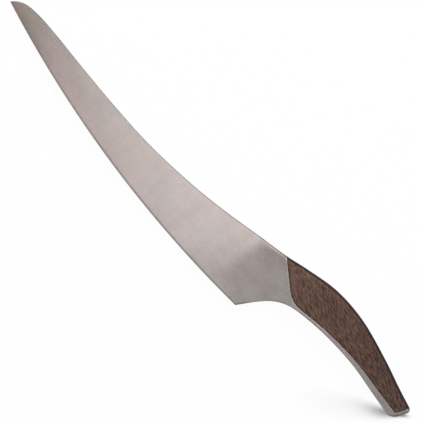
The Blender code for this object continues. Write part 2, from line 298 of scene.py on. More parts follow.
def ring(bottom, top, spine_thickness, handle_share, end_inset):
    """Points round one section of the knife. handle_share turns the sharpened strip into a rounded edge."""
    height = (top - bottom).length
    up = (top - bottom) / height

    def thickness_at(level):
        point = bottom + up * level
        plain = blend(BEVEL_SHOULDER, spine_thickness, level / height) / 2
        return blend(plain, HANDLE_THICKNESS / 2, swell(point)) - end_inset

    low = min(blend(BEVEL_HEIGHT, BELLY_RADIUS, handle_share), height * LOW_CORNER_LIMIT)
    high = min(blend(SPINE_ROUNDING, BACK_RADIUS, sqrt(swell(top))), height * HIGH_CORNER_LIMIT)
    low_half = thickness_at(low)
    edge_half = min(EDGE_THICKNESS / 2, low_half)
    low_depth = blend(low_half - edge_half, min(BELLY_RADIUS, low_half), handle_share)
    high_half = thickness_at(height - high)
    high_depth = min(high, high_half)

    half = []
    for step in range(CORNER_STEPS + 1):
        share = step / CORNER_STEPS
        turn = share * pi / 2
        level = blend(share, 1 - cos(turn), handle_share) * low
        half.append((level, low_half - low_depth * (1 - blend(share, sin(turn), handle_share))))
    for step in range(1, FLANK_STEPS):
        level = blend(low, height - high, step / FLANK_STEPS)
        half.append((level, thickness_at(level)))
    for step in range(CORNER_STEPS + 1):
        turn = step / CORNER_STEPS * pi / 2
        half.append((height - high * (1 - sin(turn)), high_half - high_depth * (1 - cos(turn))))

    points = [(bottom + up * level, z) for level, z in half]
    points += [(bottom + up * level, -z) for level, z in reversed(half)]
    return [Vector((point.x, point.y, z)) for point, z in points]


def end_inset(to_end, radius):
    """How far a rounding of this radius draws a surface in, at a distance from the end."""
    if to_end >= radius:
        return 0
    return radius - sqrt(radius**2 - (radius - to_end) ** 2)


def sections():
    rings = []
    for step in range(1, BLADE_SECTIONS + 1):
        share = (step / BLADE_SECTIONS) ** TIP_CROWDING
        thickness = blend(SPINE_AT_TIP, SPINE_AT_HEEL, share)
        rings.append(ring(along(edge, share), along(spine, share), thickness, 0, 0))
    for step in range(1, BOLSTER_SECTIONS + 1):
        share = step / BOLSTER_SECTIONS
        section = along(choil, share), along(bolster_top, share)
        rings.append(ring(*section, SPINE_AT_HEEL, smooth_step(share), 0))
    full = 1 - BUTT_HEEL_RADIUS / HANDLE_LENGTH
    for step in range(1, HANDLE_SECTIONS + 1):
        share = full * step / HANDLE_SECTIONS
        rings.append(ring(along(belly, share), along(back, share), SPINE_AT_HEEL, 1, 0))
    for step in range(1, BUTT_SECTIONS + 1):
        to_end = BUTT_HEEL_RADIUS * (1 - sin(step / BUTT_SECTIONS * pi / 2))
        share = 1 - to_end / HANDLE_LENGTH
        bottom, top = along(belly, share), along(back, share)
        up = (top - bottom).normalized()
        bottom += up * end_inset(to_end, BUTT_HEEL_RADIUS)
        top -= up * end_inset(to_end, BUTT_BACK_RADIUS)
        rings.append(ring(bottom, top, SPINE_AT_HEEL, 1, end_inset(to_end, BUTT_EDGE)))
    return rings


def finished_mesh(name, shape):
    bmesh.ops.recalc_face_normals(shape, faces=shape.faces)
    mesh = bpy.data.meshes.new(name)
    shape.to_mesh(mesh)
    shape.free()
    return mesh


def envelope_mesh():
    """The outer form of the whole knife, lofted from the tip to the butt."""
    shape = bmesh.new()
    point = shape.verts.new((tip.x, tip.y, 0))
    rings = [[shape.verts.new(place) for place in section] for section in sections()]
    count = len(rings[0])
    for i in range(count):
        shape.faces.new((point, rings[0][i], rings[0][(i + 1) % count]))
    for first, second in zip(rings, rings[1:]):
        for i in range(count):
            j = (i + 1) % count
            shape.faces.new((first[i], second[i], second[j], first[j]))
    shape.faces.new(rings[-1])
    return finished_mesh("knife_form", shape)


def rail_line(inset):
    """The upper side of the belly rail."""
    line = []
    for step in range(RAIL_STEPS + 1):
        share = blend(RAIL_START, RAIL_END, step / RAIL_STEPS)
        way = direction(belly, share)
        grown = ((share - RAIL_START) / (1 - RAIL_START)) ** RAIL_GROWTH
        width = blend(RAIL_FRONT, RAIL_REAR, grown) + inset
        line.append(along(belly, share) + Vector((-way.y, way.x)) * width)
    return line


def wood_outline(inset):
    """The wood's outline, drawn in by inset on the sides that meet steel and open past the back."""
    rail = rail_line(inset)
    front = crest_top - ahead_way * (CREST_LEDGE + inset)
    rear = back[-1] + Vector((-butt_way.y, butt_way.x)) * (BUTT_RIM + inset)
    front_corner = crossing(front, crest_way, rail[0], rail[1] - rail[0])
    rear_corner = crossing(rear, butt_way, rail[-1], rail[-1] - rail[-2])
    front_end = front - crest_way * CUT_MARGIN
    rear_end = rear + butt_way * CUT_MARGIN
    over = Vector(((front_end.x + rear_end.x) / 2, max(point.y for point in back) + 2 * CUT_MARGIN))
    outline = [front_end]
    outline += rounded(front_corner, front_end, rail[0], FRONT_CORNER_RADIUS - inset)
    outline += rail
    outline += rounded(rear_corner, rail[-1], rear_end, REAR_CORNER_RADIUS - inset)
    outline += [rear_end, over]
    return outline


def stacked_mesh(name, layers):
    """A closed body through flat outlines at rising heights, each with as many points as the others."""
    shape = bmesh.new()
    rows = [[shape.verts.new((point.x, point.y, z)) for point in outline] for outline, z in layers]
    count = len(rows[0])
    shape.faces.new(rows[0])
    for first, second in zip(rows, rows[1:]):
        for i in range(count):
            j = (i + 1) % count
            shape.faces.new((first[i], first[j], second[j], second[i]))
    shape.faces.new(rows[-1])
    return finished_mesh(name, shape)


def recess_mesh(name, turn, foot, inset, edge_break):
    """The wood's room or the wood's blank: it widens or narrows by edge_break where it meets the flank."""
    flank = HANDLE_THICKNESS / 2
    straight, flared = wood_outline(inset), wood_outline(inset + edge_break)
    layers = [
        (straight, turn * foot),
        (straight, turn * (flank - abs(edge_break))),
        (flared, turn * flank),
        (flared, turn * (flank + CUT_MARGIN)),
    ]
    return stacked_mesh(name, layers)


def pin_hole_mesh():
    """Three holes in one mesh, each as long as its pin and a little wider."""
    shape = bmesh.new()
    length = TANG_THICKNESS + 2 * (SEAT_CLEARANCE + PIN_DEPTH + PIN_CLEARANCE)
    radius = PIN_DIAMETER / 2 + PIN_CLEARANCE
    for share in PIN_SHARES:
        middle = (along(belly, share) + along(back, share)) / 2
        made = bmesh.ops.create_cone(
            shape, cap_ends=True, segments=PIN_SIDES, radius1=radius, radius2=radius, depth=length
        )
        bmesh.ops.translate(shape, vec=(middle.x, middle.y, 0), verts=made["verts"])
    return finished_mesh("pin_holes", shape)


def carve(name, mesh, cuts):
    """An object made from mesh by Boolean cuts, given as (cutter mesh, operation)."""
    obj = bpy.data.objects.new(name, mesh)
    bpy.context.scene.collection.objects.link(obj)
    cutters = []
    for cutter_mesh, operation in cuts:
        cutter = bpy.data.objects.new(cutter_mesh.name, cutter_mesh)
        bpy.context.scene.collection.objects.link(cutter)
        modifier = obj.modifiers.new(cutter_mesh.name, "BOOLEAN")
        modifier.operation = operation
        modifier.object = cutter
        modifier.solver = "EXACT"
        cutters.append(cutter)
    bpy.context.view_layer.update()
    evaluated = obj.evaluated_get(bpy.context.evaluated_depsgraph_get())
    obj.data = bpy.data.meshes.new_from_object(evaluated)
    obj.data.name = name
    obj.modifiers.clear()
    for cutter in cutters:
        bpy.data.objects.remove(cutter)
    return obj


def placement(form):
    """Moves the outlines' form into the frame. It is a hair larger than the CAD's and is fitted to it."""
    low = Vector([min(vertex.co[axis] for vertex in form.vertices) for axis in range(3)])
    high = Vector([max(vertex.co[axis] for vertex in form.vertices) for axis in range(3)])
    room = forging_high - forging_low
    fitted = Matrix.Diagonal((room.x / (high.x - low.x), room.y / (high.y - low.y), 1, 1))
    corner = Vector((forging_low.x, forging_low.y, middle_z))
    return Matrix.Translation(corner - fitted @ Vector((*low.xy, 0))) @ fitted


def dress(obj, surface, node, placing):
    """Places a finished piece in the frame in the room of its CAD node."""
    obj.data.transform(placing)
    obj.data.materials.clear()
    obj.data.materials.append(surface)
    obj.data.shade_smooth()
    obj.data.set_sharp_from_angle(angle=SHARP_ANGLE)
    weighted = obj.modifiers.new("even_shading", "WEIGHTED_NORMAL")
    weighted.keep_sharp = True
    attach(obj, "root")
    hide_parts(node)


class Nodes:
    """A node tree that is being put together, with short ways to add what the finishes use."""

    FLOAT_MIX = (2, 3, 0)  # a Mix node's sockets for its first and second value, and for its result
    COLOUR_MIX = (6, 7, 2)

    def __init__(self, tree):
        self.tree = tree
        self.tree.nodes.clear()
        self.coordinates = self.node("TexCoord").outputs

    def node(self, kind, inputs=None, **settings):
        made = self.tree.nodes.new("ShaderNode" + kind)
        for name, value in settings.items():
            setattr(made, name, value)
        for name, value in (inputs or {}).items():
            self.set(made.inputs[name], value)
        return made

    def set(self, socket, value):
        if isinstance(value, bpy.types.NodeSocket):
            self.tree.links.new(value, socket)
        elif socket.type == "RGBA":
            socket.default_value = (*value, 1)
        else:
            socket.default_value = value

    def math(self, operation, first, second=0.0):
        made = self.node("Math", operation=operation)
        self.set(made.inputs[0], first)
        self.set(made.inputs[1], second)
        return made.outputs[0]

    def product(self, first, *others):
        for other in others:
            first = self.math("MULTIPLY", first, other)
        return first

    def vector(self, operation, first, second):
        made = self.node("VectorMath", operation=operation)
        self.set(made.inputs[0], first)
        self.set(made.inputs[1], second)
        return made.outputs["Value" if operation == "DOT_PRODUCT" else "Vector"]

    def axes(self, vector):
        return self.node("SeparateXYZ", {"Vector": vector}).outputs

    def turned(self, where, angle):
        """A place, turned round Z."""
        return self.node("VectorRotate", {"Vector": where, "Angle": angle}, rotation_type="Z_AXIS").outputs[0]

    def span(self, value, low, high, start=0.0, stop=1.0, smooth=True):
        """A value, moved from the range low..high to start..stop."""
        made = self.node("MapRange", interpolation_type="SMOOTHSTEP" if smooth else "LINEAR")
        self.set(made.inputs["Value"], value)
        for name, number in (("From Min", low), ("From Max", high), ("To Min", start), ("To Max", stop)):
            self.set(made.inputs[name], number)
        return made.outputs["Result"]

    def line(self, value, low, high, start, stop):
        """The same, with a straight change between the two."""
        return self.span(value, low, high, start, stop, smooth=False)

    def curve(self, value, points):
        """A value between 0 and 1, changed as the curve through these points says."""
        made = self.node("FloatCurve", {"Value": value})
        line = made.mapping.curves[0].points
        line[0].location, line[1].location = points[0], points[-1]
        for point in points[1:-1]:
            line.new(*point)
        made.mapping.update()
        return made.outputs[0]

    def noise(self, where, per_metre, detail=3.0, roughness=0.55, distortion=0.0):
        """Noise from 0 to 1 with its own fineness along each axis."""
        inputs = {"Vector": self.vector("MULTIPLY", where, per_metre), "Scale": 1.0, "Detail": detail}
        inputs.update({"Roughness": roughness, "Distortion": distortion})
        return self.node("TexNoise", inputs).outputs["Fac"]

    def mixed(self, sockets, share, first, second, **settings):
        made = self.node("Mix", **settings)
        first_socket, second_socket, result = sockets
        self.set(made.inputs[0], share)
        self.set(made.inputs[first_socket], first)
        self.set(made.inputs[second_socket], second)
        return made.outputs[result]

    def blend(self, share, first, second):
        """A number between two others."""
        return self.mixed(self.FLOAT_MIX, share, first, second, data_type="FLOAT")

    def mix(self, share, first, second):
        """A colour between two others."""
        return self.mixed(self.COLOUR_MIX, share, first, second, data_type="RGBA")

    def tinted(self, colour, tint):
        """A colour multiplied by another."""
        return self.mixed(self.COLOUR_MIX, 1.0, colour, tint, data_type="RGBA", blend_type="MULTIPLY")

    def grey(self, level):
        return self.node("CombineColor", {"Red": level, "Green": level, "Blue": level}).outputs[0]

    def dim(self, colour, strength):
        """A colour made lighter or darker by a number."""
        return self.tinted(colour, self.grey(strength))

    def finish(self, colour, roughness, height, depth, metallic=0.0, **constants):
        """Ends a material in one shader. height is the relief from 0 to 1, depth its size in metres."""
        bump = self.node("Bump", {"Height": height, "Distance": depth, "Strength": 1.0})
        inputs = {"Base Color": colour, "Roughness": roughness, "Normal": bump.outputs["Normal"]}
        shader = self.node("BsdfPrincipled", {**inputs, "Metallic": metallic, **constants})
        self.surface(shader.outputs[0])

    def surface(self, shader):
        self.tree.links.new(shader, self.node("OutputMaterial").inputs["Surface"])


def new_material(name):
    material = bpy.data.materials.new(name)
    material.use_nodes = True
    return material, Nodes(material.node_tree)


# Below, a band is the pair of places, in metres, between which a mask or a tone goes from one value to the
# other, and tones and gains are factors. Places along the knife are measured from the tip.
WHITE = (1.0, 1.0, 1.0)
NOISE_BAND = (0.3, 0.7)  # where nearly all values of a noise lie

# Steel: its colours, and where one gives way to the next
# The tip's colour is warmer, and darker as painted shade where the light falls off towards the tip
TIP_STEEL = (0.55, 0.468, 0.425)
BLADE_STEEL = (0.655, 0.58, 0.562)
# The bolster's and handle's steel is rougher and brushed lengthwise, and darker as painted shade
BOLSTER_STEEL = (0.575, 0.515, 0.49)
TIP_BAND = (0.0, 60 * MM)
FRONT_BAND = (20 * MM, 140 * MM)  # the front of the blade is painted lighter, as painted light
FRONT_LIGHT = 1.08
FINISH_LINE = 231.5 * MM  # where the blade's finish gives way to the bolster's
FINISH_WIDTH = 28 * MM
FINISH_LEAN = 0.32  # how far that line leans towards the butt, per height over the chord
FINISH_HEIGHT = 30 * MM  # height over the chord at which the line is where FINISH_LINE says

# The front of the blade is rosy up to a height over the edge that first rises and then falls along the blade
ROSY_RISE = (0.0, 60 * MM)
ROSY_RISE_HEIGHTS = (5 * MM, 18 * MM)
ROSY_FALL = (50 * MM, 140 * MM)
ROSY_FALL_HEIGHTS = (19 * MM, 4 * MM)
ROSY_CHANGE = 5 * MM  # half the height over which rosy turns into yellowish
ROSY_TINT = (1.025, 0.975, 0.965)
YELLOWISH_TINT = (1.035, 1.035, 1.01)
HUE_BAND = (165 * MM, 125 * MM)  # where both tints begin, seen from the heel

# Darker and lighter parts of the steel, most of them painted shade and painted light
DARK_STRIP_HEIGHTS = (9 * MM, 1 * MM)  # over the edge: a darker strip along the edge near the tip
DARK_STRIP_BACK_BAND = (80 * MM, 25 * MM)
DARK_STRIP_TIP_BAND = (2 * MM, 22 * MM)
DARK_STRIP_AT_TIP = 0.35
DARK_STRIP_TONE = 0.83
EDGE_HEIGHTS = (1.0 * MM, 1.5 * MM)  # over the edge: a painted shade line along the sharpened strip
BEVEL_LINE_SHADE = 0.8
BOLSTER_HEIGHTS = (4 * MM, 28 * MM)  # over the chord: the bolster is painted lighter low and darker high, as light and shade
BOLSTER_SHADING = (1.06, 0.91)  # of the bolster at these heights
BUTT_BAND = (370 * MM, 380 * MM)
BUTT_HEIGHTS = (41 * MM, 52 * MM)  # over the chord: a painted highlight lightens the butt's rim towards the back
BUTT_HIGHLIGHT = 1.22
CORNER_WAY = Vector((0.8, -0.6, 0.0))  # out of the knife at the butt's lower corner, which is painted dark as shade
CORNER_BAND = (281.9 * MM, 283.4 * MM)  # that way from the tip
CORNER_SHADE = 0.72
RIM_DEPTHS = (1.0 * MM, 0.5 * MM)  # under the top outline: a painted shade line along it
RIM_BAND = (120 * MM, 190 * MM)
RIM_SHADE = 0.78

# Painted highlights where light catches the bolster: along its top edge, in a wedge under it and beside the
# wood
STRIP_LOW_DEPTHS = (2.4 * MM, 1.8 * MM)  # under the top outline
STRIP_HIGH_DEPTHS = (0.8 * MM, 1.2 * MM)
STRIP_BAND = (208 * MM, 222 * MM)
STRIP_GAIN_BAND = (230 * MM, 243 * MM)
STRIP_GAINS = (0.05, 0.6)
WEDGE_BAND = (234 * MM, 251 * MM)
WEDGE_DEPTHS = (9.0 * MM, 1.5 * MM)  # under the top outline, at the ends of that band
WEDGE_GAIN_BAND = (233 * MM, 241 * MM)
WEDGE_GAIN = 0.45
LIP_WIDTHS = (1.0 * MM, 0.5 * MM)  # ahead of the crest's line
LIP_GAIN_BAND = (2.5 * MM, 6 * MM)  # down the crest's line
LIP_GAINS = (0.4, 0.14)
LIP_END_BAND = (34 * MM, 12 * MM)
CREST_BAND = (-1.0 * MM, 0.0)  # ahead of the crest's line: no painted highlight or painted shade line lies behind it

# Sides that face away from the flanks are painted darker, as shade. These say how far a surface faces up or
# down where the painted shade starts and where it is full.
BELLY_FACING = (0.93, 0.6)
BLADE_BACK_FACING = (0.985, 0.9)
BOLSTER_BACK_FACING = (0.82, 0.6)
BACK_NORMALS = (0.0, 0.3)  # the Y of the normals between which a side counts as back and not as belly
BACK_SHADE = 0.3
BELLY_SHADE_BAND = (285 * MM, 256 * MM)
BELLY_SHADES = (0.5, 0.7)

# The steel's grain: fineness per metre along X, Y and Z, and shares of each part
CROSS_BRUSH = (900.0, 90.0, 90.0)  # on the blade
LENGTH_BRUSH = (45.0, 900.0, 900.0)  # on the bolster and the handle
BROAD_BRUSH = (240.0, 22.0, 22.0)
MOTTLE = (620.0, 620.0, 620.0)
CLOUD = (75.0, 105.0, 105.0)
WARMTH = (48.0, 70.0, 70.0)
FINE_NOISE = 0.6  # roughness of the fine noises
MOTTLE_SHARE = 0.55
BROAD_SHARE = 0.2
CLOUD_SHARE = 0.3
BLADE_GRAIN = 0.145  # how far the grain lightens and darkens
BOLSTER_GRAIN = 0.2
WARMTH_BAND = (0.35, 0.65)
WARM_TINT = (1.013, 0.995, 0.99)
COOL_TINT = (0.987, 1.0, 0.997)
BLADE_ROUGHNESS = 0.29
BOLSTER_ROUGHNESS = 0.33
BRUSH_ROUGHNESS = 0.012
SIDE_ROUGHNESS = 0.12
BRUSH_DEPTH = 0.0003 * MM


def steel_places(steel):
    """Where a point of the steel lies, as the masks below measure it."""
    at = SimpleNamespace(place=steel.coordinates["Object"])
    x, y, _ = steel.axes(at.place)
    _, normal_y, normal_z = steel.axes(steel.coordinates["Normal"])
    at.length = steel.math("SUBTRACT", x, origin.x)
    at.height = steel.math("SUBTRACT", y, origin.y)
    raised = steel.math("SUBTRACT", at.height, FINISH_HEIGHT)
    leaned = steel.math("SUBTRACT", at.length, steel.math("MULTIPLY", raised, FINISH_LEAN))
    at.bolster = steel.span(leaned, FINISH_LINE - FINISH_WIDTH / 2, FINISH_LINE + FINISH_WIDTH / 2)

    middle = BLADE_LENGTH / 2
    from_middle = steel.math("DIVIDE", steel.math("SUBTRACT", at.length, middle), middle)
    bow = steel.line(steel.math("MULTIPLY", from_middle, from_middle), 0.0, 1.0, EDGE_BOW, 0.0)
    at.over_edge = steel.math("ADD", at.height, bow)

    reach, tall = crest_top
    top_points = upper[: crest_at + 1 : TOP_LINE_STEP]
    top_line = [(point.x / reach, point.y / tall) for point in top_points]
    top = steel.math("MULTIPLY", steel.curve(steel.math("DIVIDE", at.length, reach), top_line), tall)
    at.under_top = steel.math("SUBTRACT", top, at.height)

    from_crest = steel.vector("SUBTRACT", at.place, origin + crest_top.to_3d())
    at.ahead = steel.vector("DOT_PRODUCT", from_crest, ahead_way.to_3d())
    at.down = steel.vector("DOT_PRODUCT", from_crest, crest_way.to_3d())
    at.on_top = steel.span(at.ahead, *CREST_BAND)

    at.facing_back = steel.span(normal_y, *BACK_NORMALS)
    facings = zip(BELLY_FACING, BLADE_BACK_FACING, BOLSTER_BACK_FACING)
    dark_from, dark_to = (
        steel.blend(at.facing_back, belly_side, steel.blend(at.bolster, blade, bolster))
        for belly_side, blade, bolster in facings
    )
    at.side = steel.span(steel.math("ABSOLUTE", normal_z), dark_from, dark_to)
    return at


def painted_bolster_highlights(steel, at):
    """How much brighter the painted highlights make the bolster."""
    strip = steel.product(
        steel.span(at.under_top, *STRIP_LOW_DEPTHS),
        steel.span(at.under_top, *STRIP_HIGH_DEPTHS),
        steel.span(at.length, *STRIP_GAIN_BAND, *STRIP_GAINS),
        steel.span(at.length, *STRIP_BAND),
    )
    depth = steel.span(at.length, *WEDGE_BAND, *WEDGE_DEPTHS)
    wedge = steel.product(
        steel.span(steel.math("DIVIDE", at.under_top, depth), 1.0, 0.0),
        steel.span(at.length, *WEDGE_GAIN_BAND, 0.0, WEDGE_GAIN),
    )
    lip = steel.product(
        steel.span(at.ahead, *LIP_WIDTHS),
        steel.span(at.down, *LIP_GAIN_BAND, *LIP_GAINS),
        steel.span(at.down, *LIP_END_BAND),
    )
    return steel.math("MAXIMUM", steel.math("MULTIPLY", steel.math("MAXIMUM", strip, wedge), at.on_top), lip)


def steel_tone(steel, at):
    """The steel's colour without its grain, with its painted light and shade."""
    # the tip: warmer, and darker as painted shade
    blade = steel.mix(steel.span(at.length, *TIP_BAND), TIP_STEEL, BLADE_STEEL)
    # painted light on the front of the blade
    blade = steel.dim(blade, steel.span(at.length, *FRONT_BAND, FRONT_LIGHT, 1.0))
    # the bolster's and handle's finish, darker as painted shade
    tone = steel.mix(at.bolster, blade, BOLSTER_STEEL)

    dark_strip = steel.product(
        steel.span(at.over_edge, *DARK_STRIP_HEIGHTS),
        steel.span(at.length, *DARK_STRIP_BACK_BAND),
        steel.span(at.length, *DARK_STRIP_TIP_BAND, DARK_STRIP_AT_TIP, 1.0),
    )
    tone = steel.dim(tone, steel.line(dark_strip, 0.0, 1.0, 1.0, DARK_STRIP_TONE))
    # painted shade along the sharpened strip
    tone = steel.dim(tone, steel.span(at.over_edge, *EDGE_HEIGHTS, BEVEL_LINE_SHADE, 1.0))
    # painted light and shade on the bolster, lighter low and darker high
    bolster_shading = steel.span(at.height, *BOLSTER_HEIGHTS, *BOLSTER_SHADING)
    tone = steel.dim(tone, steel.blend(at.bolster, 1.0, bolster_shading))

    # painted shade along the butt's lower corner
    from_tip = steel.vector("SUBTRACT", at.place, origin)
    corner = steel.vector("DOT_PRODUCT", from_tip, CORNER_WAY)
    tone = steel.dim(tone, steel.span(corner, *CORNER_BAND, 1.0, CORNER_SHADE))
    # painted highlight on the butt's rim towards the back
    butt_top = steel.product(steel.span(at.height, *BUTT_HEIGHTS), steel.span(at.length, *BUTT_BAND))
    tone = steel.dim(tone, steel.line(butt_top, 0.0, 1.0, 1.0, BUTT_HIGHLIGHT))

    rise = steel.line(at.length, *ROSY_RISE, *ROSY_RISE_HEIGHTS)
    fall = steel.line(at.length, *ROSY_FALL, *ROSY_FALL_HEIGHTS)
    below = steel.math("SUBTRACT", steel.math("MINIMUM", fall, rise), at.over_edge)
    hue = steel.mix(steel.span(below, -ROSY_CHANGE, ROSY_CHANGE), YELLOWISH_TINT, ROSY_TINT)
    return steel.tinted(tone, steel.mix(steel.span(at.length, *HUE_BAND), WHITE, hue))


def brushed_steel():
    material, steel = new_material("brushed_steel")
    at = steel_places(steel)
    cross = steel.noise(at.place, CROSS_BRUSH, roughness=FINE_NOISE)
    length = steel.noise(at.place, LENGTH_BRUSH, detail=2.0, roughness=FINE_NOISE)
    brush = steel.blend(at.bolster, cross, length)
    value = steel.blend(MOTTLE_SHARE, brush, steel.noise(at.place, MOTTLE, roughness=FINE_NOISE))
    value = steel.blend(BROAD_SHARE, value, steel.noise(at.place, BROAD_BRUSH))
    value = steel.blend(CLOUD_SHARE, value, steel.noise(at.place, CLOUD, detail=2.0))
    strength = steel.blend(at.bolster, BLADE_GRAIN, BOLSTER_GRAIN)
    darkest, lightest = steel.math("SUBTRACT", 1.0, strength), steel.math("ADD", 1.0, strength)
    grain = steel.line(value, *NOISE_BAND, darkest, lightest)
    warmth = steel.noise(at.place, WARMTH, detail=2.0)
    tint = steel.mix(steel.span(warmth, *WARMTH_BAND), WARM_TINT, COOL_TINT)
    colour = steel.dim(steel.tinted(steel_tone(steel, at), tint), grain)

    # painted shade on the steel's sides that face away from the flanks
    belly_shade = steel.blend(steel.span(at.length, *BELLY_SHADE_BAND), *BELLY_SHADES)
    side_shade = steel.blend(at.facing_back, belly_shade, BACK_SHADE)
    colour = steel.dim(colour, steel.line(at.side, 0.0, 1.0, 1.0, side_shade))
    # painted highlights on the bolster: along its top edge, in a wedge under it and beside the wood
    colour = steel.dim(colour, steel.math("ADD", painted_bolster_highlights(steel, at), 1.0))
    # painted shade: a dark line along the spine
    rim = steel.product(steel.span(at.under_top, *RIM_DEPTHS), steel.span(at.length, *RIM_BAND), at.on_top)
    colour = steel.dim(colour, steel.line(rim, 0.0, 1.0, 1.0, RIM_SHADE))

    rough = steel.line(at.bolster, 0.0, 1.0, BLADE_ROUGHNESS, BOLSTER_ROUGHNESS)
    brushed = steel.line(brush, *NOISE_BAND, -BRUSH_ROUGHNESS, BRUSH_ROUGHNESS)
    rough = steel.math("ADD", rough, brushed)
    rough = steel.math("ADD", rough, steel.math("MULTIPLY", at.side, SIDE_ROUGHNESS))
    steel.finish(colour, rough, brush, BRUSH_DEPTH, metallic=1.0)
    return material


# Wood: its colours
WOOD_DARK = (0.068, 0.036, 0.027)
WOOD_LIGHT = (0.118, 0.072, 0.054)
WOOD_RED = (0.113, 0.051, 0.046)
WOOD_OLIVE = (0.092, 0.065, 0.036)
WOOD_PORE = (0.020, 0.010, 0.008)
WOOD_EDGE_SHADE = (0.19, 0.09, 0.07)  # how much of each colour is left where the long edges are painted dark as shade

# Its grain: fineness per metre along the grain and twice across it
GRAIN_TURN = radians(-13)  # of the grain from the knife's X
BANDS = (26.0, 170.0, 170.0)
FIBRE = (235.0, 1900.0, 1900.0)
PATCH = (75.0, 170.0, 170.0)
PORES = (180.0, 1900.0, 1900.0)
BAND_SHARES = (0.3, 0.7)  # of the light colour in the darkest and the lightest band
FIBRE_LOWS = (0.3, 0.34)  # the noise that makes the darkest fibre, at the front of the scales and at the rear
FIBRE_HIGHS = (0.7, 0.66)  # and the one that makes the lightest fibre
DARK_FIBRE = 0.08
LIGHT_FIBRES = (1.86, 2.05)  # at the front and the rear
PORE_BAND = (0.57, 0.67)  # noise values between which a pore opens
PORE_ROUGHNESS = 0.2
FIBRE_ROUGHNESS = (0.5, 0.62)
FIBRE_RELIEF = 0.35  # of the relief's depth; a pore takes the whole depth
RELIEF_DEPTH = 0.05 * MM
WOOD_SPECULAR = 0.25

# Patches of other colours, and what changes from the front of the scales to the rear
RED_BAND = (0.52, 0.66)  # noise values between which a patch turns red
RED_SHARES = (0.3, 0.55)
OLIVE_BAND = (0.48, 0.34)
OLIVE_SHARES = (0.34, 0.42)
PORE_SHARES = (0.4, 0.6)
WOOD_TONES = (1.27, 0.78)
FRONT_TINT = (1.01, 1.0, 0.975)
REAR_TINT = (1.025, 0.97, 0.99)

# The long edges are painted dark as shade: how far a surface faces up or down where the painted shade starts
# and where it is full, and where it weakens again on the narrow sides
EDGE_SHADE_FACING = (0.93, 0.7)
NARROW_FACING = (0.05, 0.25)
NARROW_SHARE = 0.45


def dark_oak():
    material, oak = new_material("dark_oak")
    place = oak.coordinates["Object"]
    x, _, _ = oak.axes(place)
    _, _, normal_z = oak.axes(oak.coordinates["Normal"])
    grain = oak.turned(place, -GRAIN_TURN)
    bands = oak.noise(grain, BANDS, distortion=0.6)
    fibre = oak.noise(grain, FIBRE, roughness=FINE_NOISE)
    patch = oak.noise(grain, PATCH, detail=2.0, distortion=0.8)
    pore = oak.span(oak.noise(grain, PORES, detail=2.0, roughness=0.5), *PORE_BAND)

    rear = oak.span(x, origin.x + crest_belly.x, origin.x + butt_belly_x)
    colour = oak.mix(oak.span(bands, *NOISE_BAND, *BAND_SHARES), WOOD_DARK, WOOD_LIGHT)
    red = oak.span(patch, *RED_BAND, 0.0, oak.blend(rear, *RED_SHARES))
    colour = oak.mix(red, colour, WOOD_RED)
    olive = oak.span(patch, *OLIVE_BAND, 0.0, oak.blend(rear, *OLIVE_SHARES))
    colour = oak.mix(olive, colour, WOOD_OLIVE)
    fibre_band = oak.blend(rear, *FIBRE_LOWS), oak.blend(rear, *FIBRE_HIGHS)
    colour = oak.dim(colour, oak.line(fibre, *fibre_band, DARK_FIBRE, oak.blend(rear, *LIGHT_FIBRES)))
    colour = oak.mix(oak.math("MULTIPLY", pore, oak.blend(rear, *PORE_SHARES)), colour, WOOD_PORE)
    colour = oak.dim(colour, oak.span(x, origin.x + crest_top.x, origin.x + butt_belly_x, *WOOD_TONES))
    colour = oak.tinted(colour, oak.mix(rear, FRONT_TINT, REAR_TINT))
    # painted shade on the wood's rounded long edges
    facing = oak.math("ABSOLUTE", normal_z)
    narrow = oak.span(facing, *NARROW_FACING, NARROW_SHARE, 1.0)
    edge_shade = oak.product(oak.span(facing, *EDGE_SHADE_FACING), narrow)
    colour = oak.tinted(colour, oak.mix(edge_shade, WHITE, WOOD_EDGE_SHADE))

    relief = oak.math("SUBTRACT", oak.math("MULTIPLY", fibre, FIBRE_RELIEF), pore)
    rough = oak.line(fibre, *NOISE_BAND, *FIBRE_ROUGHNESS)
    rough = oak.math("ADD", rough, oak.math("MULTIPLY", pore, PORE_ROUGHNESS))
    oak.finish(colour, rough, relief, RELIEF_DEPTH, **{"Specular IOR Level": WOOD_SPECULAR})
    return material


# Brass of the hidden pins
BRASS = (0.72, 0.50, 0.22)
STAINED_BRASS = (0.55, 0.36, 0.16)
TURNING = (90.0, 90.0, 5200.0)  # fineness per metre of the turned rings
STAIN = (700.0, 700.0, 300.0)
STAIN_BAND = (0.4, 0.7)  # noise values between which brass is stained
BRASS_ROUGHNESS = (0.22, 0.38)
TURNING_DEPTH = 0.01 * MM


def turned_brass():
    material, brass = new_material("turned_brass")
    place = brass.coordinates["Object"]
    turning = brass.noise(place, TURNING)
    colour = brass.mix(brass.span(brass.noise(place, STAIN), *STAIN_BAND), BRASS, STAINED_BRASS)
    rough = brass.line(turning, *NOISE_BAND, *BRASS_ROUGHNESS)
    brass.finish(colour, rough, turning, TURNING_DEPTH, metallic=1.0)
    return material


